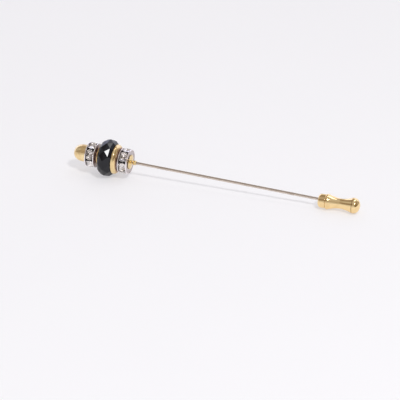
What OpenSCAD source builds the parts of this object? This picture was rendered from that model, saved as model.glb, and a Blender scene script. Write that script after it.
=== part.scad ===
/* [Shaft] */
// Diameter of the steel wire
shaft_d = 0.7; // [0.6:0.05:0.7]
// Distance along the ground from the bead's middle to the wire's point
point_x = 62.4; // [56:0.1:66]
// Length of the ground taper at the point
taper_l = 2.4; // [1.5:0.1:4]

/* [Black bead] */
// Diameter of the black bead across its corners
bead_d = 9.6; // [8.8:0.1:9.8]
// Thickness of the black bead along the wire
bead_w = 3.5; // [3.2:0.1:3.8]
// Number of facets round the bead
bead_sides = 12; // [10, 12, 14]

/* [Rondelles] */
// Diameter of the silver plates
rondelle_d = 6.3; // [6.2:0.1:6.5]
// Thickness of a rondelle over both plates
rondelle_w = 2.5; // [2.5:0.05:2.7]
// Width of the plate edge that is turned in over the stones
lip_w = 0.36; // [0.3:0.02:0.36]
// Number of stones round each rondelle
stone_count = 6; // [5, 6]
// Width of a stone between the plates
stone_w = 2.06; // [1.9:0.02:2.06]
// Length of a stone round the rim
stone_l = 2.9; // [2.5:0.05:2.9]

/* [Gold head pieces] */
// Diameter of the end cap
end_cap_d = 4.3; // [3.8:0.1:4.6]
// Length of the end cap
end_cap_l = 3.7; // [3.5:0.1:4.4]
// Diameter of the thin spacer disc
spacer_d = 5.8; // [5.4:0.1:6.2]
// Diameter of the cup beside the bead
cup_d = 7.8; // [7.2:0.1:7.8]
// Diameter of the small cap on the outer rondelle
small_cap_d = 3.7; // [3.2:0.1:4.2]
// Diameter of the ball that ends the head
ball_d = 1.2; // [1.1:0.05:1.3]

/* [Barrel guard] */
// Largest diameter of the guard, on which it lies
guard_d = 3.84; // [3.7:0.02:4.1]
// Diameter of the guard's waist
waist_d = 2.5; // [2.2:0.05:2.8]
// Diameter of the guard's collar
collar_d = 3.44; // [3.2:0.02:3.6]
// Length of the collar
collar_l = 1.9; // [1.6:0.1:2.2]
// Length of the waisted sleeve
sleeve_l = 6.5; // [6.2:0.05:7.0]
// Length of the button at the closed end
button_l = 1.8; // [1.6:0.1:2.4]

/* [Hidden] */
// Running gap between neighbouring pieces
gap = 0.05;
// Radial play of the head's pieces on the wire
play = 0.04;
// The wire is ground a little thinner inside the head, and narrows slowly to this inside the guard
seat_r = shaft_d / 2 - 0.02;
round_fn = 64;

// Stations along the wire, measured from the bead's middle
spacer_rim_t = 0.55;
spacer_neck_l = 0.55;
cup_l = 1.25;
cup_neck_l = 0.25;
small_cap_l = 0.5;
spacer_x = -bead_w / 2 - gap - spacer_rim_t - spacer_neck_l;
rondelle_1_x = spacer_x - gap - rondelle_w;
end_cap_x = rondelle_1_x - gap;
cup_x = bead_w / 2 + gap;
rondelle_2_x = cup_x + cup_l + cup_neck_l + gap;
small_cap_x = rondelle_2_x + rondelle_w + gap;
ball_x = small_cap_x + small_cap_l + gap + ball_d / 2;

// The guard lies on its rims and the bead on a flat of its girdle, so the straight wire slopes down to the point
girdle_x = 0.08;
flat_r = bead_d / 2 * cos(180 / bead_sides);
guard_z = guard_d / 2;
tilt = atan2(flat_r - guard_z, point_x);
head_z = flat_r * cos(tilt) + girdle_x * sin(tilt);
shaft_l = point_x / cos(tilt);

// Stations along the guard
guard_grip = 7.55;
collar_x = point_x - guard_grip;
sleeve_x = collar_x + collar_l + gap;
button_x = sleeve_x + sleeve_l + gap;

// The origin is under the middle of the whole pin
centre_x = (button_x + button_l + (end_cap_x - end_cap_l) * cos(tilt)) / 2;

// Stone proportions
stone_seat_r = 2.7;
crown_h = 0.44;
girdle_h = 0.06;
pavilion_h = 0.58;
hub_r = 1.8;
stone_turn_1 = 5;
stone_turn_2 = 42;

gold = [0.90, 0.76, 0.48];
silver = [0.80, 0.79, 0.78];
steel = [0.66, 0.63, 0.58];
jet = [0.03, 0.03, 0.04];
crystal = [0.90, 0.93, 0.97];

stone_names = concat(
    [for (k = [1 : stone_count]) str("stone_1_", k)],
    [for (k = [1 : stone_count]) str("stone_2_", k)]
);

// Quarter outline that rounds an end: length along X, radius, and how square the corner is
function dome(length, radius, power, steps) = [
    for (k = [0 : steps])
        let (a = 90 * k / steps)
        [length * pow(sin(a), 2 / power), radius * pow(max(cos(a), 0), 2 / power)]
];

// Turns an outline of [x, radius] points about the X axis
module lathe(outline) {
    rotate([0, 90, 0])
        rotate_extrude($fn = round_fn)
            polygon([for (p = outline) [p[1], p[0]]]);
}

// Straight rod along X, for the wire and for what is drilled
module rod_x(r, x0, x1) {
    translate([x0, 0, 0])
        rotate([0, 90, 0])
            cylinder(r = r, h = x1 - x0, $fn = round_fn);
}

// Puts a head piece on the wire's sloping axis, and a guard piece on the guard's level one
module on_wire(x) {
    translate([-centre_x, 0, head_z])
        rotate([0, tilt, 0])
            translate([x, 0, 0])
                children();
}

module on_guard(x) {
    translate([x - centre_x, 0, guard_z]) children();
}

// Plain dome, blind on the wire's end
module end_cap() {
    r = end_cap_d / 2;
    straight_l = 1.5;
    edge = 0.1;
    wall = 1.6;
    outline = concat(
        [[0, 0], [0, r - edge], [edge, r]],
        [for (p = dome(end_cap_l - straight_l, r, 2.4, 14)) [p[0] + straight_l, p[1]]]
    );
    color(gold)
        on_wire(end_cap_x)
            mirror([1, 0, 0])
                difference() {
                    lathe(outline);
                    rod_x(seat_r + play, -1, end_cap_l - wall);
                }
}

// Silver setting: two round plates on a hub, their edges turned in over the stones
module rondelle(x) {
    r = rondelle_d / 2;
    edge = 0.08;
    base_r = 2.25;
    wall_r = 2.95;
    wall_t = 0.18;
    color(silver)
        on_wire(x)
            difference() {
                lathe([
                    [0, 0],
                    [0, r - edge],
                    [edge, r],
                    [lip_w - edge, r],
                    [lip_w, r - edge],
                    [wall_t, wall_r],
                    [wall_t, base_r],
                    [lip_w, base_r - 0.15],
                    [lip_w, hub_r],
                    [rondelle_w - lip_w, hub_r],
                    [rondelle_w - lip_w, base_r - 0.15],
                    [rondelle_w - wall_t, base_r],
                    [rondelle_w - wall_t, wall_r],
                    [rondelle_w - lip_w, r - edge],
                    [rondelle_w - lip_w + edge, r],
                    [rondelle_w - edge, r],
                    [rondelle_w, r - edge],
                    [rondelle_w, 0]
                ]);
                rod_x(seat_r + play, -1, rondelle_w + 1);
            }
}

// Thin gold disc with a narrower neck towards the rondelle
module spacer_disc() {
    r = spacer_d / 2;
    neck_r = 1.95;
    edge = 0.12;
    end = spacer_neck_l + spacer_rim_t;
    color(gold)
        on_wire(spacer_x)
            difference() {
                lathe([
                    [0, 0],
                    [0, neck_r],
                    [spacer_neck_l, neck_r],
                    [spacer_neck_l, r - edge],
                    [spacer_neck_l + edge / 2, r - edge / 4],
                    [spacer_neck_l + spacer_rim_t / 2, r],
                    [end - edge / 2, r - edge / 4],
                    [end, r - edge],
                    [end, 0]
                ]);
                rod_x(seat_r + play, -1, end + 1);
            }
}

// Black bead: a narrow girdle, a shoulder turned half a facet and a flat face on each side
module black_bead() {
    n = bead_sides;
    step = 360 / n;
    shoulder_x = 0.67 * bead_w / 2;
    rings = [
        [-bead_w / 2, 0.41 * bead_d, 0.5],
        [-shoulder_x, 0.468 * bead_d, 0.5],
        [-girdle_x, 0.5 * bead_d, 0],
        [girdle_x, 0.5 * bead_d, 0],
        [shoulder_x, 0.468 * bead_d, 0.5],
        [bead_w / 2, 0.41 * bead_d, 0.5]
    ];
    function corner(ring, k) = let (a = 180 + step * (k + ring[2] + 0.5)) [
        ring[0],
        ring[1] * sin(a),
        ring[1] * cos(a)
    ];
    points = [for (ring = rings) each [for (k = [0 : n - 1]) corner(ring, k)]];
    function at(ring, k) = ring * n + (k + n) % n;
    band_faces = [
        for (k = [0 : n - 1])
            each [
                [at(0, k), at(0, k + 1), at(1, k + 1), at(1, k)],
                [at(2, k), at(2, k + 1), at(3, k + 1), at(3, k)],
                [at(4, k), at(4, k + 1), at(5, k + 1), at(5, k)]
            ]
    ];
    crown_faces = [
        for (k = [0 : n - 1])
            each [
                [at(1, k), at(1, k + 1), at(2, k + 1)],
                [at(2, k + 1), at(2, k), at(1, k)],
                [at(3, k), at(3, k + 1), at(4, k)],
                [at(4, k), at(3, k + 1), at(4, k + 1)]
            ]
    ];
    end_faces = [
        [for (k = [n - 1 : -1 : 0]) at(0, k)],
        [for (k = [0 : n - 1]) at(5, k)]
    ];
    color(jet)
        on_wire(0)
            difference() {
                polyhedron(points, concat(band_faces, crown_faces, end_faces));
                rod_x(seat_r + play, -bead_w, bead_w);
            }
}

// Gold cup against the bead, stepping down to a neck
module bead_cup() {
    r = cup_d / 2;
    foot_r = 3.05;
    neck_r = 2.3;
    end = cup_l + cup_neck_l;
    color(gold)
        on_wire(cup_x)
            difference() {
                lathe([
                    [0, 0],
                    [0, r - 0.1],
                    [0.1, r],
                    [0.32, r],
                    [0.5, r - 0.1],
                    [0.66, r - 0.3],
                    [0.8, r - 0.48],
                    [1.0, foot_r + 0.08],
                    [cup_l - 0.1, foot_r],
                    [cup_l, foot_r - 0.1],
                    [cup_l, neck_r],
                    [end, neck_r],
                    [end, 0]
                ]);
                rod_x(seat_r + play, -1, end + 1);
            }
}

// Small gold cap, a low bell that closes down on the wire
module small_cap() {
    r = small_cap_d / 2;
    tip_r = 0.58;
    bell = [
        for (k = [0 : 8])
            let (t = k / 8)
            [0.14 + (small_cap_l - 0.14) * t, tip_r + (r - 0.06 - tip_r) * pow(1 - t, 1.35)]
    ];
    color(gold)
        on_wire(small_cap_x)
            difference() {
                lathe(concat([[0, 0], [0, r - 0.05], [0.05, r], [0.1, r]], bell, [[small_cap_l, 0]]));
                rod_x(seat_r + play, -1, small_cap_l + 1);
            }
}

// Ball that ends the head
module stop_ball() {
    color(gold)
        on_wire(ball_x)
            difference() {
                sphere(d = ball_d, $fn = round_fn);
                rod_x(seat_r + play, -1, 1);
            }
}

// Point of a stone's outline: a round cut whose two sides are flattened between the plates
function stone_point(size, angle, z) = [
    max(-stone_w / 2, min(stone_w / 2, stone_l / 2 * cos(angle))) * size,
    stone_l / 2 * sin(angle) * size,
    z
];

// Cut stone: eight-sided table, crown facets to a sixteen-sided girdle, and a pointed pavilion
module cut_stone() {
    sides = 8;
    rim = 2 * sides;
    table = [for (k = [0 : sides - 1]) stone_point(0.6, 45 * k, crown_h)];
    upper = [for (k = [0 : rim - 1]) stone_point(1, 22.5 * k, 0)];
    lower = [for (p = upper) [p[0], p[1], -girdle_h]];
    culet = [[0, 0, -girdle_h - pavilion_h]];
    function t(k) = (k + sides) % sides;
    function u(k) = sides + (k + rim) % rim;
    function w(k) = sides + rim + (k + rim) % rim;
    tip = sides + 2 * rim;
    crown = [
        for (k = [0 : sides - 1])
            each [
                [t(k), u(2 * k), u(2 * k - 1)],
                [t(k), u(2 * k + 1), u(2 * k)],
                [t(k), t(k + 1), u(2 * k + 1)]
            ]
    ];
    girdle = [for (k = [0 : rim - 1]) [u(k), u(k + 1), w(k + 1), w(k)]];
    pavilion = [for (k = [0 : rim - 1]) [w(k), w(k + 1), tip]];
    polyhedron(
        concat(table, upper, lower, culet),
        concat([[for (k = [sides - 1 : -1 : 0]) t(k)]], crown, girdle, pavilion)
    );
}

// One stone of a rondelle, its table facing out
module stone(x, k, turn) {
    angle = turn + 360 * k / stone_count;
    color(crystal)
        on_wire(x + rondelle_w / 2)
            rotate([angle, 0, 0])
                translate([0, 0, stone_seat_r])
                    cut_stone();
}

// Straight wire: its seat in the head, the bare stretch, and the ground point in the guard
module shaft() {
    r = shaft_d / 2;
    start_x = end_cap_x - end_cap_l + 1.8;
    bare_from = ball_x + ball_d / 2 + 0.15;
    bare_to = (collar_x - 0.4) / cos(tilt);
    point_r = 0.06;
    color(steel)
        on_wire(0)
            lathe([
                [start_x, 0],
                [start_x, seat_r],
                [ball_x, seat_r],
                [bare_from, r],
                [bare_to, r],
                [shaft_l - taper_l, seat_r],
                [shaft_l - point_r, point_r],
                [shaft_l, 0]
            ]);
}

// Guard's collar, a ring with a wide mouth
module clutch_collar() {
    r = collar_d / 2;
    mouth_r = 0.9;
    lip_r = mouth_r + 0.15;
    nose_l = 0.8;
    edge = 0.14;
    nose = dome(nose_l, r - lip_r, 2.2, 6);
    outline = concat(
        [[0, 0]],
        [for (k = [6 : -1 : 0]) [nose_l - nose[k][0], lip_r + nose[k][1]]],
        [[collar_l - edge, r], [collar_l, r - edge], [collar_l, 0]]
    );
    color(gold)
        on_guard(collar_x)
            difference() {
                lathe(outline);
                rod_x(mouth_r, -1, collar_l + 1);
            }
}

// Waisted sleeve, its bore narrowing to the grip
module clutch_sleeve() {
    r = guard_d / 2;
    lip_l = 0.35;
    waist_x = 3.6;
    entry_r = 0.75;
    grip_r = 0.5;
    grip_x = 3.2;
    profile = [
        for (k = [0 : 24])
            let (x = lip_l + (sleeve_l - lip_l) * k / 24)
            let (side = x < waist_x ? waist_x - lip_l : sleeve_l - waist_x)
            [x, waist_d / 2 + (r - waist_d / 2) * pow(abs(x - waist_x) / side, 2.2)]
    ];
    color(gold)
        on_guard(sleeve_x)
            difference() {
                lathe(concat([[0, 0], [0, r - 0.2], [0.12, r - 0.06]], profile, [[sleeve_l, 0]]));
                rod_x(entry_r, -1, grip_x);
                rod_x(grip_r, 0, sleeve_l + 1);
            }
}

// Button that closes the guard
module clutch_button() {
    r = guard_d / 2;
    straight_l = 0.5;
    color(gold)
        on_guard(button_x)
            lathe(concat(
                [[0, 0], [0, r - 0.1], [0.1, r]],
                [for (p = dome(button_l - straight_l, r, 2.3, 12)) [p[0] + straight_l, p[1]]]
            ));
}

end_cap();
rondelle(rondelle_1_x);  // rondelle_1
spacer_disc();
black_bead();
bead_cup();
rondelle(rondelle_2_x);  // rondelle_2
small_cap();
stop_ball();
shaft();
clutch_collar();
clutch_sleeve();
clutch_button();
for (k = [1 : stone_count]) {
    stone(rondelle_1_x, k - 1, stone_turn_1);
    stone(rondelle_2_x, k - 1, stone_turn_2);
}
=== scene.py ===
import math
import bpy
import bmesh
from mathutils import Matrix, Vector


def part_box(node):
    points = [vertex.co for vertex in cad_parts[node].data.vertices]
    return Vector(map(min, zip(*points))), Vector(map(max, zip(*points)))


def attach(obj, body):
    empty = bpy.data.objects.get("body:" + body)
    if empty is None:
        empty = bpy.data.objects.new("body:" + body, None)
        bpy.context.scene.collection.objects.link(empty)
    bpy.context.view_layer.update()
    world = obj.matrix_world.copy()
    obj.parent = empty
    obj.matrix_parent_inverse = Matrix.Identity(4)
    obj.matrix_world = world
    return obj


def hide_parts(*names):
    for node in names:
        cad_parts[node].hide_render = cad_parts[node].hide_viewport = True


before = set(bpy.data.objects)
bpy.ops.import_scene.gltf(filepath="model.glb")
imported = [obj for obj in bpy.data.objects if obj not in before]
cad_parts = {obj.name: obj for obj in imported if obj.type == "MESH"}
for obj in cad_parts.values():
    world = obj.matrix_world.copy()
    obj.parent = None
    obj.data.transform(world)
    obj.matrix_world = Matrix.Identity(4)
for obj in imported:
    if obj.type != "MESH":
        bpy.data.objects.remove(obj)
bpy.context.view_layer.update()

mm = 0.001
scene = bpy.context.scene


def addObject(name, data):
    thing = bpy.data.objects.new(name, data)
    scene.collection.objects.link(thing)
    return thing


# Camera, at the photo's angle: azimuth turns from -Y towards +X, and lengths are in millimetres
view = {
    "azimuth": 18.81,
    "elevation": 28.0,
    "distance": 386.7,
    "target": (0.26, -11.46, 3.167),
    "lens": 144.0,
    "sensor": 36.0,
    "near": 10.0,
}


def directionTo(azimuth, elevation):
    a, e = math.radians(azimuth), math.radians(elevation)
    return Vector((math.sin(a) * math.cos(e), -math.cos(a) * math.cos(e), math.sin(e)))


def addCamera():
    data = bpy.data.cameras.new("photoCamera")
    data.lens = view["lens"]
    data.sensor_width = view["sensor"]
    data.clip_start = view["near"] * mm
    camera = addObject("photoCamera", data)
    back = directionTo(view["azimuth"], view["elevation"])
    camera.location = (Vector(view["target"]) + back * view["distance"]) * mm
    camera.rotation_euler = back.to_track_quat("Z", "Y").to_euler()
    scene.camera = camera


addCamera()
print("camera placed")


# Shader helpers
def newMaterial(name):
    material = bpy.data.materials.new(name)
    material.use_nodes = True
    tree = material.node_tree
    return material, tree, tree.nodes["Principled BSDF"]


def addNode(tree, kind, **settings):
    node = tree.nodes.new(kind)
    for key, value in settings.items():
        setattr(node, key, value)
    return node


def feed(tree, socket, source):
    if isinstance(source, bpy.types.NodeSocket):
        tree.links.new(source, socket)
    else:
        socket.default_value = source


def mathNode(tree, operation, first, second=0.0):
    node = addNode(tree, "ShaderNodeMath", operation=operation)
    feed(tree, node.inputs[0], first)
    feed(tree, node.inputs[1], second)
    return node.outputs[0]


def mixColour(tree, factor, first, second):
    node = addNode(tree, "ShaderNodeMix", data_type="RGBA")
    feed(tree, node.inputs["Factor"], factor)
    feed(tree, node.inputs["A"], first)
    feed(tree, node.inputs["B"], second)
    return node.outputs["Result"]


def noiseAt(tree, scale, stretch=(1, 1, 1), detail=3.0):
    # Object coordinates in metres, stretched, then noise with about `scale` features a metre
    coordinates = addNode(tree, "ShaderNodeTexCoord")
    mapping = addNode(tree, "ShaderNodeMapping")
    mapping.inputs["Scale"].default_value = stretch
    noise = addNode(tree, "ShaderNodeTexNoise")
    noise.inputs["Scale"].default_value = scale
    noise.inputs["Detail"].default_value = detail
    tree.links.new(coordinates.outputs["Object"], mapping.inputs["Vector"])
    tree.links.new(mapping.outputs["Vector"], noise.inputs["Vector"])
    return noise.outputs["Fac"]


def spread(tree, value, low, high):
    # Nothing below `low`, all above `high`, and a smooth rise between them
    node = addNode(tree, "ShaderNodeMapRange", interpolation_type="SMOOTHSTEP")
    feed(tree, node.inputs["Value"], value)
    node.inputs["From Min"].default_value = low
    node.inputs["From Max"].default_value = high
    return node.outputs["Result"]


def newGroup(name, inputs, outputs):
    tree = bpy.data.node_groups.new(name, "ShaderNodeTree")
    for label, kind, value in inputs:
        socket = tree.interface.new_socket(name=label, in_out="INPUT", socket_type=kind)
        socket.default_value = value
    for label, kind in outputs:
        tree.interface.new_socket(name=label, in_out="OUTPUT", socket_type=kind)
    return tree, addNode(tree, "NodeGroupInput"), addNode(tree, "NodeGroupOutput")


# How fine the wear is, in features a metre, and how high its marks stand, in millimetres
wear = {
    "clouds": 420.0,
    "turningMarks": 300.0,
    "pits": 5200.0,
    "markHeight": 0.004,
    "haze": 380.0,
    "hairlines": 900.0,
    "hairlineHeight": 0.002,
    "tint": 260.0,
}
roundTheAxis = (26.0, 0.7, 0.7)  # noise squeezed along X, so that its streaks run round a turned piece


def buildHandledMetal():
    # Plated metal that has been worn: faint turning marks round the axis, cloudy patches and fine pits
    tree, given, made = newGroup(
        "handledMetal",
        [
            ("Tone", "NodeSocketColor", (0.9, 0.7, 0.35, 1)),
            ("Dull tone", "NodeSocketColor", (0.6, 0.4, 0.2, 1)),
            ("Dulling", "NodeSocketFloat", 0.3),
            ("Roughness", "NodeSocketFloat", 0.1),
            ("Roughness spread", "NodeSocketFloat", 0.08),
            ("Marks", "NodeSocketFloat", 0.1),
        ],
        [("Color", "NodeSocketColor"), ("Roughness", "NodeSocketFloat"), ("Normal", "NodeSocketVector")],
    )
    cloud = spread(tree, noiseAt(tree, wear["clouds"]), 0.42, 0.68)
    turning = noiseAt(tree, wear["turningMarks"], roundTheAxis, 2.0)
    pits = spread(tree, noiseAt(tree, wear["pits"], detail=2.0), 0.62, 0.78)
    dullingAndShade = mathNode(tree, "MULTIPLY", cloud, given.outputs["Dulling"])
    colour = mixColour(tree, dullingAndShade, given.outputs["Tone"], given.outputs["Dull tone"])
    tree.links.new(colour, made.inputs["Color"])
    fromClouds = mathNode(tree, "MULTIPLY", cloud, 0.6)
    fromTurning = mathNode(tree, "MULTIPLY", turning, 0.6)
    uneven = mathNode(tree, "ADD", fromClouds, fromTurning)
    extra = mathNode(tree, "MULTIPLY", uneven, given.outputs["Roughness spread"])
    tree.links.new(mathNode(tree, "ADD", extra, given.outputs["Roughness"]), made.inputs["Roughness"])
    height = mathNode(tree, "SUBTRACT", turning, mathNode(tree, "MULTIPLY", pits, 0.5))
    bump = addNode(tree, "ShaderNodeBump")
    bump.inputs["Distance"].default_value = wear["markHeight"] * mm
    tree.links.new(given.outputs["Marks"], bump.inputs["Strength"])
    tree.links.new(height, bump.inputs["Height"])
    tree.links.new(bump.outputs["Normal"], made.inputs["Normal"])
    return tree


def buildPolishedGlass():
    # Cut and polished glass: hairline polishing marks and the odd fingerprint haze
    tree, given, made = newGroup(
        "polishedGlass",
        [
            ("Roughness", "NodeSocketFloat", 0.02),
            ("Haze", "NodeSocketFloat", 0.05),
            ("Marks", "NodeSocketFloat", 0.05),
        ],
        [("Roughness", "NodeSocketFloat"), ("Normal", "NodeSocketVector")],
    )
    haze = spread(tree, noiseAt(tree, wear["haze"], (1.0, 0.6, 1.4)), 0.5, 0.75)
    hair = noiseAt(tree, wear["hairlines"], (1.0, 9.0, 1.0), 2.0)
    extra = mathNode(tree, "MULTIPLY", haze, given.outputs["Haze"])
    tree.links.new(mathNode(tree, "ADD", extra, given.outputs["Roughness"]), made.inputs["Roughness"])
    bump = addNode(tree, "ShaderNodeBump")
    bump.inputs["Distance"].default_value = wear["hairlineHeight"] * mm
    tree.links.new(given.outputs["Marks"], bump.inputs["Strength"])
    tree.links.new(hair, bump.inputs["Height"])
    tree.links.new(bump.outputs["Normal"], made.inputs["Normal"])
    return tree


handledMetal = buildHandledMetal()
polishedGlass = buildPolishedGlass()

metals = {
    "headGold": {
        "Tone": (0.93, 0.70, 0.34, 1),
        "Dull tone": (0.74, 0.48, 0.18, 1),
        "Dulling": 0.3,
        "Roughness": 0.09,
        "Roughness spread": 0.06,
        "Marks": 0.12,
    },
    "cupGold": {
        "Tone": (0.94, 0.73, 0.40, 1),
        "Dull tone": (0.74, 0.48, 0.20, 1),
        "Dulling": 0.4,
        "Roughness": 0.15,
        "Roughness spread": 0.1,
        "Marks": 0.15,
    },
    "capGold": {
        "Tone": (1.0, 0.80, 0.46, 1),
        "Dull tone": (0.66, 0.40, 0.15, 1),
        "Dulling": 0.5,
        "Roughness": 0.2,
        "Roughness spread": 0.2,
        "Marks": 0.2,
    },
    "brightGold": {
        "Tone": (0.87, 0.68, 0.36, 1),
        "Dull tone": (0.62, 0.42, 0.17, 1),
        "Dulling": 0.3,
        "Roughness": 0.10,
        "Roughness spread": 0.06,
        "Marks": 0.10,
    },
    "guardGold": {
        "Tone": (0.99, 0.75, 0.40, 1),
        "Dull tone": (0.78, 0.52, 0.24, 1),
        "Dulling": 0.3,
        "Roughness": 0.07,
        "Roughness spread": 0.06,
        "Marks": 0.12,
    },
    # Painted shade: a dark brown gold for the shaded grooves beside the spacer and the cup
    "paintedShadeBrown": {
        "Tone": (0.50, 0.32, 0.22, 1),
        "Dull tone": (0.27, 0.15, 0.10, 1),
        "Dulling": 0.6,
        "Roughness": 0.32,
        "Roughness spread": 0.15,
        "Marks": 0.4,
    },
    "silver": {
        "Tone": (0.95, 0.90, 0.92, 1),
        "Dull tone": (0.66, 0.58, 0.57, 1),
        "Dulling": 0.4,
        "Roughness": 0.2,
        "Roughness spread": 0.12,
        "Marks": 0.2,
    },
    # Painted shade: a darker silver, and rougher too, for the plates' outer faces and the shade they
    # mirror
    "paintedShadeSilver": {
        "Tone": (0.60, 0.54, 0.54, 1),
        "Dull tone": (0.40, 0.33, 0.30, 1),
        "Dulling": 0.7,
        "Roughness": 0.28,
        "Roughness spread": 0.15,
        "Marks": 0.3,
    },
    # Painted shade: near black metal between a rondelle's plates, standing for the shade between its
    # stones
    "paintedShadeBlack": {
        "Tone": (0.05, 0.045, 0.045, 1),
        "Dull tone": (0.02, 0.015, 0.015, 1),
        "Dulling": 0.6,
        "Roughness": 0.45,
        "Roughness spread": 0.1,
        "Marks": 0.3,
    },
    "foil": {
        "Tone": (1.0, 0.97, 0.95, 1),
        "Dull tone": (0.90, 0.87, 0.85, 1),
        "Dulling": 0.3,
        "Roughness": 0.16,
        "Roughness spread": 0.05,
        "Marks": 0.05,
    },
    "steel": {
        "Tone": (0.70, 0.61, 0.53, 1),
        "Dull tone": (0.46, 0.38, 0.31, 1),
        "Dulling": 0.4,
        "Roughness": 0.18,
        "Roughness spread": 0.14,
        "Marks": 0.35,
    },
}


def metalMaterial(name):
    material, tree, shader = newMaterial(name)
    group = addNode(tree, "ShaderNodeGroup", node_tree=handledMetal)
    for label, value in metals[name].items():
        group.inputs[label].default_value = value
    shader.inputs["Metallic"].default_value = 1.0
    tree.links.new(group.outputs["Color"], shader.inputs["Base Color"])
    tree.links.new(group.outputs["Roughness"], shader.inputs["Roughness"])
    tree.links.new(group.outputs["Normal"], shader.inputs["Normal"])
    return material


glasses = {
    "jet": {
        "Tone": (0.003, 0.0035, 0.007, 1),
        "Roughness": 0.015,
        "Haze": 0.04,
        "Marks": 0.05,
        "IOR": 1.46,
        "Transmission Weight": 0.0,
    },
    "crystal": {
        "Tone": (1.0, 0.98, 0.97, 1),
        "Roughness": 0.0,
        "Haze": 0.02,
        "Marks": 0.0,
        "IOR": 1.5,
        "Transmission Weight": 1.0,
    },
}


def darkened(colour, share):
    return tuple(c * share for c in colour[:3]) + (1,)


def glassMaterial(name):
    look = glasses[name]
    material, tree, shader = newMaterial(name)
    group = addNode(tree, "ShaderNodeGroup", node_tree=polishedGlass)
    for label in ("Roughness", "Haze", "Marks"):
        group.inputs[label].default_value = look[label]
    shader.inputs["Metallic"].default_value = 0.0
    for label in ("IOR", "Transmission Weight"):
        shader.inputs[label].default_value = look[label]
    tint = spread(tree, noiseAt(tree, wear["tint"]), 0.35, 0.7)
    colour = mixColour(tree, tint, look["Tone"], darkened(look["Tone"], 0.97))
    tree.links.new(colour, shader.inputs["Base Color"])
    tree.links.new(group.outputs["Roughness"], shader.inputs["Roughness"])
    tree.links.new(group.outputs["Normal"], shader.inputs["Normal"])
    return material


headGold = metalMaterial("headGold")
cupGold = metalMaterial("cupGold")
capGold = metalMaterial("capGold")
brightGold = metalMaterial("brightGold")
guardGold = metalMaterial("guardGold")
paintedShadeBrown = metalMaterial("paintedShadeBrown")
paintedShadeBlack = metalMaterial("paintedShadeBlack")
silver = metalMaterial("silver")
paintedShadeSilver = metalMaterial("paintedShadeSilver")
foil = metalMaterial("foil")
steel = metalMaterial("steel")
jet = glassMaterial("jet")
crystal = glassMaterial("crystal")
print("materials built")


# Mesh helpers
sharpAngle = 35  # in degrees: edges that turn by more stay crisp


def finishMesh(bm, name, materials, place):
    bmesh.ops.remove_doubles(bm, verts=bm.verts, dist=1e-8)
    bmesh.ops.recalc_face_normals(bm, faces=bm.faces)
    bmesh.ops.transform(bm, matrix=place, verts=bm.verts)
    mesh = bpy.data.meshes.new(name)
    bm.to_mesh(mesh)
    bm.free()
    for material in materials:
        mesh.materials.append(material)
    for polygon in mesh.polygons:
        polygon.use_smooth = True
    mesh.set_sharp_from_angle(angle=math.radians(sharpAngle))
    return addObject(name, mesh)


def dress(piece, body, slot, *nodes):
    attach(piece, body)
    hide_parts(*nodes)
    return piece


def middleOf(node):
    low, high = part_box(node)
    return (low + high) / 2


# The wire's axis through the head, sloping down to the point, and the guard's own level axis
beadMiddle = middleOf("black_bead")
wireWay = (middleOf("stop_ball") - beadMiddle).normalized()
onWire = Matrix.Translation(beadMiddle) @ Matrix.Rotation(math.atan2(-wireWay.z, wireWay.x), 4, "Y")
onGuard = Matrix.Translation((0, 0, middleOf("clutch_sleeve").z))


def placeOf(node, axis):
    # Where a turned node starts and ends along its axis, and its radius, in millimetres
    back = axis.inverted()
    points = [back @ vertex.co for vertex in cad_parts[node].data.vertices]
    start, end = min(p.x for p in points) / mm, max(p.x for p in points) / mm
    radius = max(math.hypot(p.y, p.z) for p in points) / mm
    return {"start": start, "end": end, "length": end - start, "radius": radius}


def rounded(corners, steps=5, support=0.02):
    # Outline of (x, radius, fillet) corners, each filleted by an arc with a support point on either side
    outline = []
    for k, (x, r, fillet) in enumerate(corners):
        here = Vector((x, r))
        if fillet == 0 or k in (0, len(corners) - 1):
            outline.append(here)
            continue
        before = Vector(corners[k - 1][:2]) - here
        after = Vector(corners[k + 1][:2]) - here
        half = before.angle(after) / 2
        reach = min(fillet / math.tan(half), 0.45 * before.length, 0.45 * after.length)
        radius = reach * math.tan(half)
        before.normalize()
        after.normalize()
        centre = here + (before + after).normalized() * (radius / math.sin(half))
        first, last = here + before * reach, here + after * reach
        turn = (first - centre).angle_signed(last - centre)
        outline.append(first + before * min(support, reach))
        spoke = first - centre
        for step in range(steps + 1):
            angle = -turn * step / steps
            cosine, sine = math.cos(angle), math.sin(angle)
            turned = Vector((spoke.x * cosine - spoke.y * sine, spoke.x * sine + spoke.y * cosine))
            outline.append(centre + turned)
        outline.append(last + after * min(support, reach))
    return outline


def domed(length, radius, power, steps=20):
    # Quarter outline from the rim to the tip: squarer as power grows
    points = []
    for k in range(steps + 1):
        a = math.pi / 2 * k / steps
        points.append(Vector((length * math.sin(a) ** (2 / power), radius * math.cos(a) ** (2 / power))))
    points[-1].y = 0.0
    return points


def ringAt(bm, x, radius, around):
    # One ring of a turned piece round the X axis, or a single point where the radius is nothing
    if radius < 1e-6:
        return [bm.verts.new((x * mm, 0, 0))]
    step = 2 * math.pi / around
    return [
        bm.verts.new(Vector((x, radius * math.sin(step * k), radius * math.cos(step * k))) * mm)
        for k in range(around)
    ]


def skin(bm, first, second, around):
    # Faces between two rings, triangles where one of them is a point
    faces = []
    for k in range(around):
        corners = [first[k % len(first)], first[(k + 1) % len(first)]]
        corners += [second[(k + 1) % len(second)], second[k % len(second)]]
        corners = list(dict.fromkeys(corners))
        if len(corners) > 2:
            faces.append(bm.faces.new(corners))
    return faces


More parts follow.
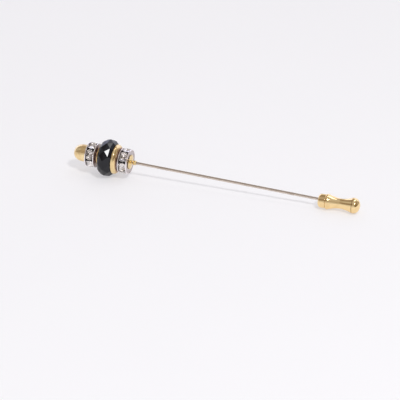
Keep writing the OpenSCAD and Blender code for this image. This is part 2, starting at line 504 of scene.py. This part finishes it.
def lathed(outline, start, direction=1, around=112, closed=False, bands=()):
    # Turns (x, radius) points about the X axis; a closed outline has a bore
    # Each set of band numbers gets the next material after the first, and a later set wins
    bm = bmesh.new()
    rings = [ringAt(bm, start + direction * x, r, around) for x, r in outline]
    pairs = list(zip(rings, rings[1:])) + ([(rings[-1], rings[0])] if closed else [])
    for number, (before, after) in enumerate(pairs):
        slots = [k + 1 for k, chosen in enumerate(bands) if number in chosen]
        for face in skin(bm, before, after, around):
            face.material_index = max(slots, default=0)
    return bm


def bandsWhere(outline, test):
    # Numbers of the outline's bands whose middle passes a test of (x, radius)
    middles = [(Vector(a) + Vector(b)) / 2 for a, b in zip(outline, outline[1:])]
    return {k for k, p in enumerate(middles) if test(p.x, p.y)}


# Geometry Nodes helpers
def nodeTree(name, inputs):
    tree = bpy.data.node_groups.new(name, "GeometryNodeTree")
    tree.is_modifier = True
    tree.interface.new_socket(name="Geometry", in_out="INPUT", socket_type="NodeSocketGeometry")
    for label, kind in inputs:
        tree.interface.new_socket(name=label, in_out="INPUT", socket_type=kind)
    tree.interface.new_socket(name="Geometry", in_out="OUTPUT", socket_type="NodeSocketGeometry")
    return tree, addNode(tree, "NodeGroupInput"), addNode(tree, "NodeGroupOutput")


def vectorOf(tree, x=0.0, y=0.0, z=0.0):
    node = addNode(tree, "ShaderNodeCombineXYZ")
    for socket, source in zip(node.inputs, (x, y, z)):
        feed(tree, socket, source)
    return node.outputs[0]


def runTree(name, tree, values, base=None):
    # Runs a tree once on an object and keeps the result as a plain mesh
    mesh = base if base else bpy.data.meshes.new(name)
    holder = addObject(name + "Maker", mesh)
    modifier = holder.modifiers.new(tree.name, "NODES")
    modifier.node_group = tree
    for item in tree.interface.items_tree:
        if item.item_type == "SOCKET" and item.in_out == "INPUT" and item.name in values:
            modifier[item.identifier] = values[item.name]
    evaluated = holder.evaluated_get(bpy.context.evaluated_depsgraph_get())
    made = bpy.data.meshes.new_from_object(evaluated)
    made.name = name
    bpy.data.objects.remove(holder)
    return addObject(name, made)


def buildFacetedBead():
    # Rings of corners inside one convex hull, drilled along the axis, then laid along X
    tree, given, made = nodeTree(
        "facetedBead",
        [
            ("Sides", "NodeSocketInt"),
            ("Width", "NodeSocketFloat"),
            ("Girdle radius", "NodeSocketFloat"),
            ("Girdle width", "NodeSocketFloat"),
            ("Shoulder", "NodeSocketFloat"),
            ("Shoulder station", "NodeSocketFloat"),
            ("Face", "NodeSocketFloat"),
            ("Bore radius", "NodeSocketFloat"),
            ("Bore sides", "NodeSocketInt"),
            ("Material", "NodeSocketMaterial"),
        ],
    )
    halfStep = mathNode(tree, "DIVIDE", math.pi, given.outputs["Sides"])
    halfWidth = mathNode(tree, "MULTIPLY", given.outputs["Width"], 0.5)
    halfGirdle = mathNode(tree, "MULTIPLY", given.outputs["Girdle width"], 0.5)
    shoulderAt = mathNode(tree, "MULTIPLY", halfWidth, given.outputs["Shoulder station"])
    girdle = given.outputs["Girdle radius"]
    shoulder = mathNode(tree, "MULTIPLY", girdle, given.outputs["Shoulder"])
    face = mathNode(tree, "MULTIPLY", girdle, given.outputs["Face"])
    rings = addNode(tree, "GeometryNodeJoinGeometry")
    for side in (-1.0, 1.0):
        for station, radius, turn in (
            (halfWidth, face, 0.0),
            (shoulderAt, shoulder, 0.0),
            (halfGirdle, girdle, halfStep),
        ):
            circle = addNode(tree, "GeometryNodeMeshCircle")
            feed(tree, circle.inputs["Vertices"], given.outputs["Sides"])
            feed(tree, circle.inputs["Radius"], radius)
            along = mathNode(tree, "MULTIPLY", station, side)
            move = addNode(tree, "GeometryNodeTransform")
            feed(tree, move.inputs["Geometry"], circle.outputs["Mesh"])
            feed(tree, move.inputs["Translation"], vectorOf(tree, z=along))
            feed(tree, move.inputs["Rotation"], vectorOf(tree, z=turn))
            feed(tree, rings.inputs["Geometry"], move.outputs["Geometry"])
    hull = addNode(tree, "GeometryNodeConvexHull")
    feed(tree, hull.inputs["Geometry"], rings.outputs["Geometry"])
    drill = addNode(tree, "GeometryNodeMeshCylinder")
    feed(tree, drill.inputs["Vertices"], given.outputs["Bore sides"])
    feed(tree, drill.inputs["Radius"], given.outputs["Bore radius"])
    feed(tree, drill.inputs["Depth"], mathNode(tree, "MULTIPLY", given.outputs["Width"], 2.0))
    cut = addNode(tree, "GeometryNodeMeshBoolean", operation="DIFFERENCE", solver="EXACT")
    feed(tree, cut.inputs["Mesh 1"], hull.outputs["Convex Hull"])
    feed(tree, cut.inputs["Mesh 2"], drill.outputs["Mesh"])
    lay = addNode(tree, "GeometryNodeTransform")
    feed(tree, lay.inputs["Geometry"], cut.outputs["Mesh"])
    lay.inputs["Rotation"].default_value = (0, math.pi / 2, 0)
    realize = addNode(tree, "GeometryNodeRealizeInstances")
    feed(tree, realize.inputs["Geometry"], lay.outputs["Geometry"])
    paint = addNode(tree, "GeometryNodeSetMaterial")
    feed(tree, paint.inputs["Geometry"], realize.outputs["Geometry"])
    feed(tree, paint.inputs["Material"], given.outputs["Material"])
    feed(tree, made.inputs["Geometry"], paint.outputs["Geometry"])
    return tree


def buildRingOfPieces():
    # Sets copies of the input mesh round an axis along X, each turned so that its +Z points outwards
    tree, given, made = nodeTree(
        "ringOfPieces",
        [
            ("Count", "NodeSocketInt"),
            ("Radius", "NodeSocketFloat"),
            ("Turn", "NodeSocketFloat"),
            ("Place", "NodeSocketVector"),
            ("Material", "NodeSocketMaterial"),
        ],
    )
    index = addNode(tree, "GeometryNodeInputIndex").outputs[0]
    step = mathNode(tree, "DIVIDE", 2 * math.pi, given.outputs["Count"])
    angle = mathNode(tree, "ADD", mathNode(tree, "MULTIPLY", index, step), given.outputs["Turn"])
    towards = mathNode(tree, "MULTIPLY", mathNode(tree, "SINE", angle), -1.0)
    spoke = vectorOf(tree, 0.0, towards, mathNode(tree, "COSINE", angle))
    reach = addNode(tree, "ShaderNodeVectorMath", operation="SCALE")
    feed(tree, reach.inputs[0], spoke)
    feed(tree, reach.inputs["Scale"], given.outputs["Radius"])
    place = addNode(tree, "ShaderNodeVectorMath", operation="ADD")
    feed(tree, place.inputs[0], reach.outputs[0])
    feed(tree, place.inputs[1], given.outputs["Place"])
    points = addNode(tree, "GeometryNodePoints")
    feed(tree, points.inputs["Count"], given.outputs["Count"])
    feed(tree, points.inputs["Position"], place.outputs[0])
    copies = addNode(tree, "GeometryNodeInstanceOnPoints")
    feed(tree, copies.inputs["Points"], points.outputs[0])
    feed(tree, copies.inputs["Instance"], given.outputs["Geometry"])
    feed(tree, copies.inputs["Rotation"], vectorOf(tree, x=angle))
    realize = addNode(tree, "GeometryNodeRealizeInstances")
    feed(tree, realize.inputs["Geometry"], copies.outputs["Instances"])
    paint = addNode(tree, "GeometryNodeSetMaterial")
    feed(tree, paint.inputs["Geometry"], realize.outputs["Geometry"])
    feed(tree, paint.inputs["Material"], given.outputs["Material"])
    feed(tree, made.inputs["Geometry"], paint.outputs["Geometry"])
    return tree


facetedBead = buildFacetedBead()
ringOfPieces = buildRingOfPieces()

boreRadius = 0.37  # the head's pieces slip over the 0.66 mm seat of the wire

# End cap: a plain stamped dome, blind on the wire's end
endCap = {"straight": 1.2, "power": 2.3, "edge": 0.12, "boreDepth": 2.1}


def makeEndCap():
    at = placeOf("end_cap", onWire)
    dome = domed(at["length"] - endCap["straight"], at["radius"], endCap["power"])
    outline = rounded(
        [
            (endCap["boreDepth"], 0, 0),
            (endCap["boreDepth"], boreRadius, 0),
            (0, boreRadius, 0),
            (0, at["radius"], endCap["edge"]),
            (endCap["straight"], at["radius"], 0),
        ]
    )
    outline += [Vector((p.x + endCap["straight"], p.y)) for p in dome[1:]]
    bm = lathed(outline, at["end"], direction=-1)
    dress(finishMesh(bm, "endCap", [capGold], onWire), "pin", "gold", "end_cap")


makeEndCap()


# Rondelles: two thin plates on a hub, their edges turned in over the stones,
# and a mirror cup under each stone
rondelle = {
    "lip": 0.36,
    "rim": 0.12,
    "wall": 0.17,
    "wallRadius": 2.95,
    "wallFillet": 0.03,
    "baseRadius": 2.2,
    "baseSlope": 0.25,
    "hubRadius": 1.8,
    "hollow": 0.06,
    "hollowRadius": 2.5,
    "hollowSlope": 0.15,
    "hollowFillet": 0.04,
    "paintedBlackRadius": 2.5,  # painted shade: between the plates the metal is painted black up to here
    "shadedFaceDepth": 0.07,  # painted shade: the outer faces are painted a darker, rougher silver down to here, up to the margin under the bright rim
    "shadedFaceMargin": 0.14,
    "seat": 2.7,
    "count": 6,
    "turns": {"rondelle_1": 5.0, "rondelle_2": 42.0},
}
mirrorCup = {"size": 0.93, "rim": 0.02, "gap": 0.02, "wall": 0.03}
stone = {
    "sides": 8,
    "width": 2.06,
    "length": 2.76,
    "crown": 0.44,
    "girdle": 0.06,
    "pavilion": 0.58,
    "table": 0.56,
    "star": 0.80,
    "lower": 0.35,
}


def stoneRing(bm, count, size, height, offset=0.0):
    # A round cut whose two sides are flattened between the plates
    halfWidth, halfLength = stone["width"] / 2, stone["length"] / 2
    ring = []
    for k in range(count):
        a = 2 * math.pi * (k + offset) / count
        x = max(-halfWidth, min(halfWidth, halfLength * math.cos(a)))
        ring.append(bm.verts.new(Vector((x * size, halfLength * math.sin(a) * size, height)) * mm))
    return ring


def plainMesh(bm, name):
    bmesh.ops.recalc_face_normals(bm, faces=bm.faces)
    mesh = bpy.data.meshes.new(name)
    bm.to_mesh(mesh)
    bm.free()
    return mesh


def cutStoneMesh():
    # Round brilliant: table, 8 stars, 8 kites, 16 upper and 16 lower halves, 8 pavilion mains
    bm = bmesh.new()
    sides, rim = stone["sides"], 2 * stone["sides"]
    crown, foot = stone["crown"], stone["girdle"]
    axial = math.cos(math.pi / sides)
    starHeight = crown * (1 - stone["star"] * axial) / (1 - stone["table"])
    lowHeight = -foot - stone["pavilion"] * (1 - stone["lower"] * axial)
    table = stoneRing(bm, sides, stone["table"], crown)
    star = stoneRing(bm, sides, stone["star"], starHeight, 0.5)
    upper = stoneRing(bm, rim, 1.0, 0)
    under = stoneRing(bm, rim, 1.0, -foot)
    low = stoneRing(bm, sides, stone["lower"], lowHeight, 0.5)
    culet = bm.verts.new(Vector((0, 0, -foot - stone["pavilion"])) * mm)
    bm.faces.new(table)
    for k in range(sides):
        after, before = (k + 1) % sides, (k - 1) % sides
        bm.faces.new((table[k], star[k], table[after]))
        bm.faces.new((table[k], star[before], upper[2 * k], star[k]))
        bm.faces.new((star[k], upper[2 * k], upper[2 * k + 1]))
        bm.faces.new((star[k], upper[2 * k + 1], upper[(2 * k + 2) % rim]))
        bm.faces.new((culet, low[before], under[2 * k], low[k]))
        bm.faces.new((low[k], under[2 * k], under[2 * k + 1]))
        bm.faces.new((low[k], under[2 * k + 1], under[(2 * k + 2) % rim]))
    skin(bm, upper, under, rim)
    return plainMesh(bm, "cutStone")


def mirrorCupMesh():
    # Thin cone that holds a stone's pavilion, its open side outwards
    around, size = 2 * stone["sides"], mirrorCup["size"]
    top = -stone["girdle"] - stone["pavilion"] * (1 - size)
    tip = -stone["girdle"] - stone["pavilion"] - mirrorCup["gap"]
    bm = bmesh.new()
    inner = stoneRing(bm, around, size, top)
    outer = stoneRing(bm, around, size + mirrorCup["rim"], top)
    skin(bm, [bm.verts.new((0, 0, tip * mm))], inner, around)
    skin(bm, inner, outer, around)
    skin(bm, outer, [bm.verts.new((0, 0, (tip - mirrorCup["wall"]) * mm))], around)
    return plainMesh(bm, "mirrorCup")


def platesOutline(length, radius):
    # One plate with its hollowed outer face, then the hub, then the other plate
    lip, rim, wall, fillet = (rondelle[key] for key in ("lip", "rim", "wall", "wallFillet"))
    hollow, hollowRadius = rondelle["hollow"], rondelle["hollowRadius"]
    hubRadius = rondelle["hubRadius"]
    plate = [
        (hollow, boreRadius, 0),
        (hollow, hollowRadius - rondelle["hollowSlope"], rondelle["hollowFillet"]),
        (0, hollowRadius, rondelle["hollowFillet"]),
        (0, radius, rim),
        (lip, radius, rim * 0.5),
        (wall, rondelle["wallRadius"], fillet),
        (wall, rondelle["baseRadius"], fillet),
        (lip, hubRadius + rondelle["baseSlope"], fillet),
        (lip, hubRadius, fillet),
    ]
    other = [(length - x, r, fillet) for x, r, fillet in reversed(plate)]
    return rounded(plate + other)


def joinPieces(pieces, name):
    bm = bmesh.new()
    materials = []
    for piece in pieces:
        first = len(bm.faces)
        bm.from_mesh(piece.data)
        bm.faces.ensure_lookup_table()
        for face in bm.faces[first:]:
            material = piece.data.materials[face.material_index]
            if material not in materials:
                materials.append(material)
            face.material_index = materials.index(material)
        bpy.data.objects.remove(piece)
    mesh = bpy.data.meshes.new(name)
    bm.to_mesh(mesh)
    bm.free()
    for material in materials:
        mesh.materials.append(material)
    return addObject(name, mesh)


def makeRondelle(node, number):
    at = placeOf(node, onWire)
    outline = platesOutline(at["length"], at["radius"])
    inner, shadedFaceRadius = rondelle["wall"] * 0.9, at["radius"] - rondelle["shadedFaceMargin"]

    # Painted shade: the hub and the inner walls are painted black where shade falls between the stones
    def isPaintedBlack(x, r):
        return inner < x < at["length"] - inner and boreRadius < r < rondelle["paintedBlackRadius"]

    # Painted shade: the outer faces are painted darker for the shade they mirror, and are rougher as well
    def isShadedFace(x, r):
        return min(x, at["length"] - x) < rondelle["shadedFaceDepth"] and r < shadedFaceRadius

    bands = (bandsWhere(outline, isPaintedBlack), bandsWhere(outline, isShadedFace))
    bm = lathed(outline, at["start"], closed=True, bands=bands)
    plates = finishMesh(bm, "plates", [silver, paintedShadeBlack, paintedShadeSilver], onWire)
    ring = {
        "Count": rondelle["count"],
        "Radius": rondelle["seat"] * mm,
        "Turn": math.radians(rondelle["turns"][node]),
        "Place": ((at["start"] + at["end"]) / 2 * mm, 0.0, 0.0),
    }
    cups = runTree("cups", ringOfPieces, {**ring, "Material": foil}, mirrorCupMesh())
    cups.data.transform(onWire)
    dress(joinPieces([plates, cups], "setting%d" % number), "pin", "silver", node)
    stones = runTree("stones%d" % number, ringOfPieces, {**ring, "Material": crystal}, cutStoneMesh())
    stones.data.transform(onWire)
    nodes = ["stone_%d_%d" % (number, k + 1) for k in range(rondelle["count"])]
    dress(stones, "pin", "crystal", *nodes)


makeRondelle("rondelle_1", 1)
makeRondelle("rondelle_2", 2)
print("end cap and rondelles made")


# Spacer disc: a thin bright rim on a narrower neck, which is painted dark brown as painted shade in the
# groove
spacer = {"neck": 0.55, "neckRadius": 1.95, "neckFillet": 0.04, "rimRound": 0.22, "brightRim": 0.2}


def makeSpacer():
    at = placeOf("spacer_disc", onWire)
    neck, neckRadius, fillet = spacer["neck"], spacer["neckRadius"], spacer["neckFillet"]
    outline = rounded(
        [
            (0, boreRadius, 0),
            (0, neckRadius, fillet),
            (neck, neckRadius, fillet),
            (neck, at["radius"], spacer["rimRound"]),
            (at["length"], at["radius"], spacer["rimRound"]),
            (at["length"], boreRadius, 0),
        ]
    )
    brightFrom = at["radius"] - spacer["brightRim"]
    # Painted shade: the neck and the face below the rim are painted dark brown, as a shaded groove
    dullingAndShade = bandsWhere(outline, lambda x, r: x < neck + 0.02 and r < brightFrom)
    bm = lathed(outline, at["start"], closed=True, bands=(dullingAndShade,))
    dress(finishMesh(bm, "spacerDisc", [headGold, paintedShadeBrown], onWire), "pin", "gold", "spacer_disc")


makeSpacer()


# Black bead: twelve facets round, cut and polished, with hairline flats where two facets meet
blackBead = {
    "sides": 12,
    "width": 3.5,
    "girdleRadius": 4.8,
    "girdleWidth": 0.16,
    "shoulder": 0.936,
    "shoulderStation": 0.67,
    "face": 0.82,
    "edge": 0.03,
    "edgeSteps": 2,
    "edgeAngle": 4,
    "boreSides": 48,
}


def makeBead():
    bead = runTree(
        "blackBead",
        facetedBead,
        {
            "Sides": blackBead["sides"],
            "Width": blackBead["width"] * mm,
            "Girdle radius": blackBead["girdleRadius"] * mm,
            "Girdle width": blackBead["girdleWidth"] * mm,
            "Shoulder": blackBead["shoulder"],
            "Shoulder station": blackBead["shoulderStation"],
            "Face": blackBead["face"],
            "Bore radius": boreRadius * mm,
            "Bore sides": blackBead["boreSides"],
            "Material": jet,
        },
    )
    bead.data.transform(onWire)
    bevel = bead.modifiers.new("edges", "BEVEL")
    bevel.width = blackBead["edge"] * mm
    bevel.segments = blackBead["edgeSteps"]
    bevel.limit_method = "ANGLE"
    bevel.angle_limit = math.radians(blackBead["edgeAngle"])
    dress(bead, "pin", "jet", "black_bead")


makeBead()


# Cup against the bead: a polished flange that rolls down to a narrow neck; foot and neck painted dark
# brown as painted shade
beadCup = {
    "less": 0.14,  # how far the flange stays inside its solid's radius
    "flange": 0.22,
    "rim": 0.1,
    "footRadius": 2.98,
    "footFillet": 0.09,
    "neck": 0.25,
    "neckRadius": 2.3,
    "neckFillet": 0.04,
    "rollEnd": (-0.14, 0.06),  # the roll ends this far from the foot's corner
    "rollStartPull": (0.42, 0.0),
    "rollEndPull": (-0.14, 0.32),
    "rollSteps": 14,
    # how far before the foot's shoulder the painted shade starts
    "paintedShadeBrown": 0.2,
}


def makeCup():
    at = placeOf("bead_cup", onWire)
    radius, shoulder = at["radius"] - beadCup["less"], at["length"] - beadCup["neck"]
    neckRadius, fillet = beadCup["neckRadius"], beadCup["neckFillet"]
    start = Vector((beadCup["flange"], radius))
    end = Vector((shoulder, beadCup["footRadius"])) + Vector(beadCup["rollEnd"])
    second, third = start + Vector(beadCup["rollStartPull"]), end + Vector(beadCup["rollEndPull"])
    roll = []
    for k in range(1, beadCup["rollSteps"] + 1):
        t = k / beadCup["rollSteps"]
        s = 1 - t
        roll.append(start * s**3 + second * 3 * s * s * t + third * 3 * s * t * t + end * t**3)
    head = rounded([(0, boreRadius, 0), (0, radius, beadCup["rim"]), (beadCup["flange"], radius, 0)])
    tail = rounded(
        [
            (roll[-1].x, roll[-1].y, 0),
            (shoulder, beadCup["footRadius"], beadCup["footFillet"]),
            (shoulder, neckRadius, fillet),
            (at["length"], neckRadius, fillet),
            (at["length"], boreRadius, 0),
        ]
    )
    outline = head + roll[:-1] + tail
    # Painted shade: the foot and neck are painted dark brown, as a shaded groove, and lose their highlight
    dullingAndShade = bandsWhere(outline, lambda x, r: x > shoulder - beadCup["paintedShadeBrown"])
    bm = lathed(outline, at["start"], closed=True, bands=(dullingAndShade,))
    dress(finishMesh(bm, "beadCup", [cupGold, paintedShadeBrown], onWire), "pin", "gold", "bead_cup")


makeCup()


# Small cap and the ball that ends the head
smallCap = {
    "rim": 0.05,
    "brim": 0.1,
    "brimDrop": 0.03,
    "bellDrop": 0.05,
    "tipRadius": 0.56,
    "power": 1.35,
    "steps": 16,
}
stopBall = {"steps": 28, "around": 80}


def makeSmallCap():
    at = placeOf("small_cap", onWire)
    brim, tip, steps = smallCap["brim"], smallCap["tipRadius"], smallCap["steps"]
    rise = at["radius"] - smallCap["bellDrop"] - tip
    bell = []
    for k in range(1, steps + 1):
        t = k / steps
        along = brim + (at["length"] - brim) * t
        bell.append(Vector((along, tip + rise * (1 - t) ** smallCap["power"])))
    brimEnd = (brim, at["radius"] - smallCap["brimDrop"], 0)
    outline = rounded([(0, boreRadius, 0), (0, at["radius"], smallCap["rim"]), brimEnd])
    outline += bell + [Vector((at["length"], boreRadius))]
    bm = lathed(outline, at["start"], closed=True)
    dress(finishMesh(bm, "smallCap", [brightGold], onWire), "pin", "gold", "small_cap")


def makeBall():
    at = placeOf("stop_ball", onWire)
    radius, middle = at["radius"], (at["start"] + at["end"]) / 2
    first = math.asin(boreRadius / radius)
    outline = []
    for k in range(stopBall["steps"] + 1):
        a = first + (math.pi - 2 * first) * k / stopBall["steps"]
        outline.append(Vector((-radius * math.cos(a), radius * math.sin(a))))
    bm = lathed(outline, middle, around=stopBall["around"], closed=True)
    dress(finishMesh(bm, "stopBall", [brightGold], onWire), "pin", "gold", "stop_ball")


makeSmallCap()
makeBall()
print("bead, cup, cap and ball made")


# Straight wire: its seat in the head, the bare stretch, and the ground point inside the guard
wire = {
    "radius": 0.35,
    "seatRadius": 0.33,
    "bareFrom": 0.15,
    "bareTo": 0.4,
    "support": 0.04,
    "easeLength": 0.3,
    "ease": 0.002,
    "taper": 2.4,
    "taperPower": 0.85,
    "taperSteps": 10,
    "pointRadius": 0.05,
    "around": 40,
}


def makeWire():
    at = placeOf("shaft", onWire)
    ball = placeOf("stop_ball", onWire)
    guardAt = placeOf("clutch_collar", onGuard)
    radius, seat, tip = wire["radius"], wire["seatRadius"], wire["pointRadius"]
    bareFrom = ball["end"] + wire["bareFrom"]
    bareTo = (guardAt["start"] - wire["bareTo"] - beadMiddle.x / mm) / wireWay.x
    taperFrom = at["end"] - wire["taper"]
    outline = [
        (at["start"], 0),
        (at["start"], seat),
        (ball["start"], seat),
        (bareFrom - wire["support"], radius),
        (bareFrom, radius),
        (bareTo, radius),
        (bareTo + wire["easeLength"], radius - wire["ease"]),
        (taperFrom, seat),
    ]
    for k in range(1, wire["taperSteps"] + 1):
        t = k / wire["taperSteps"]
        outline.append((taperFrom + wire["taper"] * t, tip + (seat - tip) * (1 - t) ** wire["taperPower"]))
    outline.append((at["end"], 0))
    bm = lathed(outline, 0.0, around=wire["around"])
    dress(finishMesh(bm, "wire", [steel], onWire), "pin", "steel", "shaft")


makeWire()


# Barrel guard: collar, waisted sleeve and button, each turned and polished
guard = {
    "mouthRadius": 0.9,
    "mouthLip": 0.15,
    "mouthEdge": 0.06,
    "nose": 0.8,
    "nosePower": 2.2,
    "noseSteps": 12,
    "lip": 0.35,
    "lipDrop": 0.05,
    "waistAt": 3.6,
    "waistRadius": 1.25,
    "waistPower": 1.75,
    "waistSteps": 48,
    "sleeveEnd": 0.1,
    "sleeveEndDrop": 0.01,
    "sleeveEndFillet": 0.05,
    "entryRadius": 0.75,
    "gripRadius": 0.5,
    "gripAt": 3.2,
    "buttonStraight": 0.3,
    "buttonPower": 2.05,
    "edge": 0.13,
}


def makeCollar():
    at = placeOf("clutch_collar", onGuard)
    mouth, edge = guard["mouthRadius"], guard["mouthEdge"]
    lipRadius = mouth + guard["mouthLip"]
    curve = domed(guard["nose"], at["radius"] - lipRadius, guard["nosePower"], guard["noseSteps"])
    nose = [Vector((guard["nose"] - p.x, lipRadius + p.y)) for p in reversed(curve)]
    outline = [Vector((edge, mouth)), Vector((0.0, mouth + edge))]
    outline += nose
    outline += rounded(
        [
            (nose[-1].x, nose[-1].y, 0),
            (at["length"], at["radius"], guard["edge"]),
            (at["length"], mouth, 0),
        ]
    )[1:]
    bm = lathed(outline, at["start"], closed=True)
    dress(finishMesh(bm, "clutchCollar", [guardGold], onGuard), "clutch", "gold", "clutch_collar")


def makeSleeve():
    at = placeOf("clutch_sleeve", onGuard)
    lip, waistAt, waist = guard["lip"], guard["waistAt"], guard["waistRadius"]
    steps, reach = guard["waistSteps"], at["length"] - guard["sleeveEnd"] - lip
    profile = []
    for k in range(steps + 1):
        x = lip + reach * k / steps
        side = waistAt - lip if x < waistAt else at["length"] - waistAt
        rise = (abs(x - waistAt) / side) ** guard["waistPower"]
        profile.append(Vector((x, waist + (at["radius"] - waist) * rise)))
    head = rounded(
        [
            (guard["gripAt"], guard["gripRadius"], 0),
            (guard["gripAt"], guard["entryRadius"], 0),
            (0, guard["entryRadius"], 0),
            (0, at["radius"] - guard["lipDrop"], guard["edge"]),
            (lip, at["radius"], 0),
        ]
    )
    tail = rounded(
        [
            (profile[-1].x, profile[-1].y, 0),
            (at["length"], at["radius"] - guard["sleeveEndDrop"], guard["sleeveEndFillet"]),
            (at["length"], guard["gripRadius"], 0),
        ]
    )
    bm = lathed(head + profile[1:] + tail[1:], at["start"], closed=True)
    dress(finishMesh(bm, "clutchSleeve", [guardGold], onGuard), "clutch", "gold", "clutch_sleeve")


def makeButton():
    at = placeOf("clutch_button", onGuard)
    straight = guard["buttonStraight"]
    outline = rounded([(0, 0, 0), (0, at["radius"], guard["edge"]), (straight, at["radius"], 0)])
    dome = domed(at["length"] - straight, at["radius"], guard["buttonPower"])
    outline += [Vector((p.x + straight, p.y)) for p in dome[1:]]
    bm = lathed(outline, at["start"])
    dress(finishMesh(bm, "clutchButton", [guardGold], onGuard), "clutch", "gold", "clutch_button")


makeCollar()
makeSleeve()
makeButton()
print("wire and barrel guard made")


# Studio: a pale table that is lit from below, a key lamp from the front right with its glint, a soft
# panel above, and walls that only mirrors and glass see
tableTop = {
    "half": 900.0,
    "tone": (0.46, 0.455, 0.462, 1),
    "glow": (0.475, 0.467, 0.478, 1),
    "mottling": 14.0,
    "mottlingTone": 0.985,
    "roughness": 0.7,
    "specular": 0.2,
}
keyWay = (0.46, -0.43, 0.78)
lamps = {
    "key": {"direction": keyWay, "distance": 640.0, "size": (75.0, 75.0), "radiance": 100.0},
    "glint": {"direction": keyWay, "distance": 2500.0, "size": (290.0, 290.0), "radiance": 27.0},
    "panel": {
        "direction": (0.21, 0.38, 0.90),
        "distance": 1600.0,
        "size": (350.0, 700.0),
        "radiance": 2.6,
    },
}
# Brightness of the walls by angle from the front horizon over the top, from far left to right
walls = {
    "farLeft": {
        0: 0.75, 16: 0.65, 28: 0.30, 45: 0.30, 75: 0.60,
        96: 0.35, 130: 0.35, 143: 1.6, 165: 1.5, 173: 0.5,
    },
    "left": {
        0: 0.78, 16: 0.72, 30: 0.34, 52: 0.36, 66: 0.52,
        92: 0.42, 112: 0.30, 136: 0.30, 146: 0.78, 164: 0.78,
    },
    "middle": {
        0: 0.78, 16: 0.64, 30: 0.46, 52: 0.50, 70: 0.56,
        96: 0.60, 112: 0.42, 132: 0.42, 145: 1.4, 160: 1.1,
    },
    "right": {0: 0.24, 60: 0.24, 90: 0.32, 118: 0.32, 136: 0.6, 150: 0.35, 180: 0.3},
}
wallEdges = ((-0.42, -0.34), (-0.2, -0.1), (0.5, 0.66))  # where one wall fades into the next, across
fill = (0.52, 0.516, 0.53, 1)  # the even light on matt surfaces


def makeFloor():
    half = tableTop["half"] * mm
    bm = bmesh.new()
    corners = ((-half, -half), (half, -half), (half, half), (-half, half))
    bm.faces.new([bm.verts.new((x, y, 0)) for x, y in corners])
    material, tree, shader = newMaterial("tableTop")
    tint = spread(tree, noiseAt(tree, tableTop["mottling"]), 0.3, 0.7)
    tone = tableTop["tone"]
    mottled = mixColour(tree, tint, tone, darkened(tone, tableTop["mottlingTone"]))
    tree.links.new(mottled, shader.inputs["Base Color"])
    # The surface is a lit table, so it glows a little and shadows stay faint
    shader.inputs["Emission Color"].default_value = tableTop["glow"]
    shader.inputs["Emission Strength"].default_value = 1.0
    shader.inputs["Roughness"].default_value = tableTop["roughness"]
    shader.inputs["Specular IOR Level"].default_value = tableTop["specular"]
    mesh = bpy.data.meshes.new("floor")
    bm.to_mesh(mesh)
    bm.free()
    mesh.materials.append(material)
    floor = addObject("floor", mesh)


def makeLamp(name):
    settings = lamps[name]
    data = bpy.data.lights.new(name, "AREA")
    data.shape = "RECTANGLE"
    data.size, data.size_y = (s * mm for s in settings["size"])
    data.energy = settings["radiance"] * data.size * data.size_y * math.pi
    direction = Vector(settings["direction"]).normalized()
    lamp = addObject(name, data)
    lamp.location = beadMiddle + direction * settings["distance"] * mm
    lamp.rotation_euler = direction.to_track_quat("Z", "Y").to_euler()
    return lamp


def wallColour(value):
    # The room's dim walls are warm, its lamplit ones cool
    warmth = min(1.0, max(0.0, (0.6 - value) / 0.35))
    chill = min(1.0, max(0.0, (value - 1.0) / 0.4))
    red = 1 - 0.08 * chill
    green = 1 - 0.2 * warmth - 0.06 * chill
    blue = 1.04 - 0.45 * warmth + 0.16 * chill
    return (value * red, value * green, value * blue, 1)


def wallTone(tree, angle, name):
    stops = walls[name]
    ramp = addNode(tree, "ShaderNodeValToRGB")
    while len(ramp.color_ramp.elements) < len(stops):
        ramp.color_ramp.elements.new(1.0)
    for element, (degrees, value) in zip(ramp.color_ramp.elements, stops.items()):
        element.position = degrees / 180
        element.color = wallColour(value)
    tree.links.new(angle, ramp.inputs["Fac"])
    return ramp.outputs["Color"]


def makeWorld():
    world = bpy.data.worlds.new("studio")
    world.use_nodes = True
    scene.world = world
    tree = world.node_tree
    tree.nodes.clear()
    output = addNode(tree, "ShaderNodeOutputWorld")
    background = addNode(tree, "ShaderNodeBackground")
    direction = addNode(tree, "ShaderNodeTexCoord").outputs["Generated"]
    split = addNode(tree, "ShaderNodeSeparateXYZ")
    tree.links.new(direction, split.inputs[0])
    across = split.outputs["X"]
    ahead = mathNode(tree, "MULTIPLY", split.outputs["Y"], -1.0)
    angle = mathNode(tree, "DIVIDE", mathNode(tree, "ARCTAN2", split.outputs["Z"], ahead), math.pi)
    seen, *others = (wallTone(tree, angle, name) for name in walls)
    for (fadeFrom, fadeTo), nextWall in zip(wallEdges, others):
        seen = mixColour(tree, spread(tree, across, fadeFrom, fadeTo), seen, nextWall)
    # Matt surfaces are lit evenly; only mirrors and glass see the walls
    ray = addNode(tree, "ShaderNodeLightPath")
    light = mixColour(tree, ray.outputs["Is Diffuse Ray"], seen, fill)
    tree.links.new(light, background.inputs["Color"])
    tree.links.new(background.outputs[0], output.inputs["Surface"])


makeFloor()
makeLamp("panel")
makeLamp("key").visible_glossy = False
makeLamp("glint").visible_diffuse = False
makeWorld()
scene.view_settings.view_transform = "Standard"
print("studio set")
